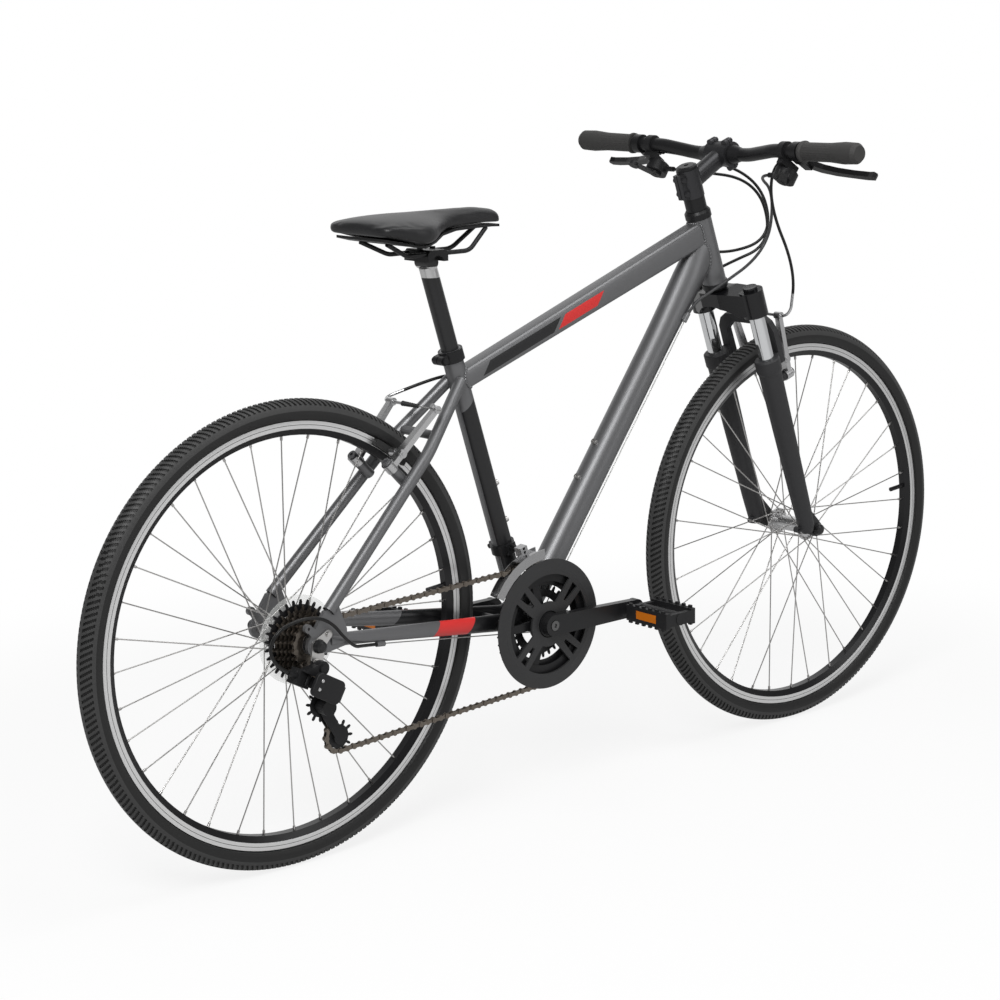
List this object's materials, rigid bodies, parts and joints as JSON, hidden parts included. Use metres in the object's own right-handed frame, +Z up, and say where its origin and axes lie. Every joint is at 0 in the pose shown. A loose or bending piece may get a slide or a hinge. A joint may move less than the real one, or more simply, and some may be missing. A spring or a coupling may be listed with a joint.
{
  "type": "hybrid bike",
  "caption": "Upright hybrid bike with sloping alloy frame, short-travel suspension fork, rim brakes, guarded triple crank and derailleur gears.",
  "frame": {"origin": "on the ground midway between the wheel axles, in the middle plane of the wheels", "axes": "+X forward, +Y to the rider's left, +Z up"},
  "size_m": [1.783, 0.6274, 1.0296],
  "materials": {
    "frame_paint": "satin metallic",
    "fork_paint": "gloss",
    "lowers_paint": "matte",
    "chrome_tube": "polished",
    "black_alloy": "black anodised",
    "stem_alloy": "dark anodised",
    "silver_alloy": "polished",
    "steel": "bright",
    "dark_steel": "oiled",
    "chain_steel": "oiled",
    "tyre_rubber": "matte",
    "grip_rubber": "matte",
    "black_plastic": "matte",
    "guard_plastic": "satin",
    "clear_plastic": "clear",
    "pod_plastic": "satin",
    "saddle_cover": "satin",
    "cable_black": "satin"
  },
  "bodies": {
    "frame": {"head_tube": "frame_paint", "top_tube": "frame_paint", "down_tube": "frame_paint", "seat_tube": "frame_paint", "bottom_bracket_shell": "frame_paint", "chainstays": "frame_paint", "seatstays": "frame_paint", "frame_fittings": "steel", "bearing_cups": "black_alloy", "seat_clamp": "black_alloy", "rear_axle": "steel", "rear_derailleur_body": "black_plastic", "front_derailleur_clamp": "silver_alloy", "chain": "chain_steel", "control_cables": "cable_black"},
    "seatpost": {"seatpost": "black_alloy"},
    "saddle": {"saddle_rails": "dark_steel", "saddle_base": "black_plastic", "saddle_pad": "saddle_cover"},
    "steering": {"fork_crown": "fork_paint", "stanchions": "chrome_tube", "headset_spacers": "black_alloy", "stem": "stem_alloy", "handlebar": "black_alloy", "grips": "grip_rubber", "brake_lever_brackets": "black_alloy", "shifter_pods": "pod_plastic", "front_brake_cable": "cable_black"},
    "fork_lowers": {"fork_lowers": "lowers_paint", "front_axle": "steel"},
    "front_wheel": {"front_tyre": "tyre_rubber", "front_rim": "black_alloy", "front_hub": "silver_alloy", "front_spokes": "steel"},
    "rear_wheel": {"rear_tyre": "tyre_rubber", "rear_rim": "black_alloy", "rear_hub": "silver_alloy", "rear_spokes": "steel", "spoke_protector": "clear_plastic"},
    "freewheel": {"freewheel_sprockets": "dark_steel"},
    "crankset": {"crank_arms": "black_alloy", "chainrings": "dark_steel", "chain_guard": "guard_plastic"},
    "right_pedal": {"right_pedal": "black_plastic"},
    "left_pedal": {"left_pedal": "black_plastic"},
    "front_right_arm": {"front_right_brake_arm": "silver_alloy"},
    "front_left_arm": {"front_left_brake_arm": "silver_alloy"},
    "rear_right_arm": {"rear_right_brake_arm": "silver_alloy"},
    "rear_left_arm": {"rear_left_brake_arm": "silver_alloy"},
    "right_lever": {"right_brake_lever": "black_alloy"},
    "left_lever": {"left_brake_lever": "black_alloy"},
    "right_shifter": {"right_shift_lever": "black_plastic"},
    "left_shifter": {"left_shift_lever": "black_plastic"},
    "front_changer": {"front_derailleur_cage": "steel"},
    "outer_link": {"rear_derailleur_outer_link": "black_alloy"},
    "inner_link": {"rear_derailleur_inner_link": "black_alloy"},
    "knuckle": {"rear_derailleur_knuckle": "black_plastic"},
    "pulley_cage": {"rear_derailleur_cage": "dark_steel"},
    "guide_pulley": {"guide_pulley": "black_plastic"},
    "tension_pulley": {"tension_pulley": "black_plastic"}
  },
  "joints": [
    {"name": "steering", "type": "hinge", "parent": "frame", "child": "steering", "pos_m": [0.50184, 0, 0.335], "axis": [-0.3256, 0, 0.9455], "range_deg": [-60, 60], "deforming": ["control_cables"]},
    {"name": "fork_travel", "type": "slide", "parent": "steering", "child": "fork_lowers", "axis": [-0.3256, 0, 0.9455], "range_m": [0, 0.06], "stiffness_N_per_m": 8000, "springref_m": -0.01, "deforming": ["front_brake_cable"]},
    {"name": "front_wheel_spin", "type": "hinge", "parent": "fork_lowers", "child": "front_wheel", "pos_m": [0.5425, 0, 0.349], "axis": [0, 1, 0], "continuous": true},
    {"name": "rear_wheel_spin", "type": "hinge", "parent": "frame", "child": "rear_wheel", "pos_m": [-0.5425, 0, 0.349], "axis": [0, 1, 0], "continuous": true},
    {"name": "crank_spin", "type": "hinge", "parent": "frame", "child": "crankset", "pos_m": [-0.088, 0, 0.296], "axis": [0, 1, 0], "continuous": true, "deforming": ["chain"]},
    {"name": "freewheel_spin", "type": "hinge", "parent": "frame", "child": "freewheel", "pos_m": [-0.5425, 0, 0.349], "axis": [0, 1, 0], "continuous": true},
    {"name": "right_pedal_spin", "type": "hinge", "parent": "crankset", "child": "right_pedal", "pos_m": [0.082, -0.11, 0.296], "axis": [0, 1, 0], "continuous": true},
    {"name": "left_pedal_spin", "type": "hinge", "parent": "crankset", "child": "left_pedal", "pos_m": [-0.258, 0.11, 0.296], "axis": [0, 1, 0], "continuous": true},
    {"name": "seatpost_height", "type": "slide", "parent": "frame", "child": "seatpost", "axis": [-0.2974, 0, 0.9548], "range_m": [-0.1, 0.09]},
    {"name": "saddle_tilt", "type": "hinge", "parent": "seatpost", "child": "saddle", "pos_m": [-0.26761, 0, 0.87268], "axis": [0, 1, 0], "range_deg": [-10, 10]},
    {"name": "right_brake", "type": "hinge", "parent": "steering", "child": "right_lever", "pos_m": [0.37771, -0.17511, 0.99006], "axis": [-0.5735, 0.0197, -0.819], "range_deg": [0, 17], "stiffness_Nm_per_rad": 1.5, "springref_deg": -8.59, "deforming": ["front_brake_cable"]},
    {"name": "left_brake", "type": "hinge", "parent": "steering", "child": "left_lever", "pos_m": [0.37771, 0.17511, 0.99006], "axis": [0.5735, 0.0197, 0.819], "range_deg": [0, 17], "stiffness_Nm_per_rad": 1.5, "springref_deg": -8.59, "deforming": ["control_cables"]},
    {"name": "front_right_arm_close", "type": "hinge", "parent": "fork_lowers", "child": "front_right_arm", "pos_m": [0.48, -0.041, 0.62573], "axis": [-0.9455, 0, -0.3256], "range_deg": [0, 3.4]},
    {"name": "front_left_arm_close", "type": "hinge", "parent": "fork_lowers", "child": "front_left_arm", "pos_m": [0.48, 0.041, 0.62573], "axis": [0.9455, 0, 0.3256], "range_deg": [0, 3.4]},
    {"name": "rear_right_arm_close", "type": "hinge", "parent": "frame", "child": "rear_right_arm", "pos_m": [-0.37727, -0.041, 0.58359], "axis": [-0.6972, 0, 0.7169], "range_deg": [0, 3.4]},
    {"name": "rear_left_arm_close", "type": "hinge", "parent": "frame", "child": "rear_left_arm", "pos_m": [-0.37727, 0.041, 0.58359], "axis": [0.6972, 0, -0.7169], "range_deg": [0, 3.4]},
    {"name": "right_shift", "type": "hinge", "parent": "steering", "child": "right_shifter", "pos_m": [0.34981, -0.14495, 0.96148], "axis": [0.5735, -0.0197, 0.819], "range_deg": [0, 30], "deforming": ["control_cables", "chain"]},
    {"name": "left_shift", "type": "hinge", "parent": "steering", "child": "left_shifter", "pos_m": [0.34981, 0.14495, 0.96148], "axis": [-0.5735, -0.0197, -0.819], "range_deg": [0, 30], "deforming": ["control_cables", "chain"]},
    {"name": "front_changer_throw", "type": "slide", "parent": "frame", "child": "front_changer", "axis": [0, 1, 0], "range_m": [0, 0.014]},
    {"name": "outer_link_swing", "type": "hinge", "parent": "frame", "child": "outer_link", "pos_m": [-0.56599, -0.0785, 0.303], "axis": [0.4909, 0, 0.8712], "range_deg": [0, 39]},
    {"name": "inner_link_swing", "type": "hinge", "parent": "frame", "child": "inner_link", "pos_m": [-0.56599, -0.0645, 0.303], "axis": [0.4909, 0, 0.8712], "range_deg": [0, 39]},
    {"name": "knuckle_swing", "type": "hinge", "parent": "outer_link", "child": "knuckle", "pos_m": [-0.52602, -0.08171, 0.28047], "axis": [0.4909, 0, 0.8712], "range_deg": [-39, 0]},
    {"name": "cage_swing", "type": "hinge", "parent": "knuckle", "child": "pulley_cage", "pos_m": [-0.528, -0.057, 0.254], "axis": [0, 1, 0], "range_deg": [-25, 30], "stiffness_Nm_per_rad": 0.6, "deforming": ["chain"]},
    {"name": "guide_pulley_spin", "type": "hinge", "parent": "pulley_cage", "child": "guide_pulley", "pos_m": [-0.528, -0.057, 0.254], "axis": [0, 1, 0], "continuous": true},
    {"name": "tension_pulley_spin", "type": "hinge", "parent": "pulley_cage", "child": "tension_pulley", "pos_m": [-0.49747, -0.057, 0.20004], "axis": [0, 1, 0], "continuous": true}
  ],
  "couplings": [
    {"joint": "freewheel_spin", "follows": "crank_spin", "ratio": 3.4286},
    {"joint": "guide_pulley_spin", "follows": "crank_spin", "ratio": -4.3636},
    {"joint": "tension_pulley_spin", "follows": "crank_spin", "ratio": 4.3636},
    {"joint": "front_right_arm_close", "follows": "right_brake", "ratio": 0.2},
    {"joint": "front_left_arm_close", "follows": "right_brake", "ratio": 0.2},
    {"joint": "rear_right_arm_close", "follows": "left_brake", "ratio": 0.2},
    {"joint": "rear_left_arm_close", "follows": "left_brake", "ratio": 0.2},
    {"joint": "outer_link_swing", "follows": "right_shift", "ratio": 1.3},
    {"joint": "inner_link_swing", "follows": "right_shift", "ratio": 1.3},
    {"joint": "knuckle_swing", "follows": "right_shift", "ratio": -1.3},
    {"joint": "front_changer_throw", "follows": "left_shift", "m_per_rad": 0.026738}
  ]
}
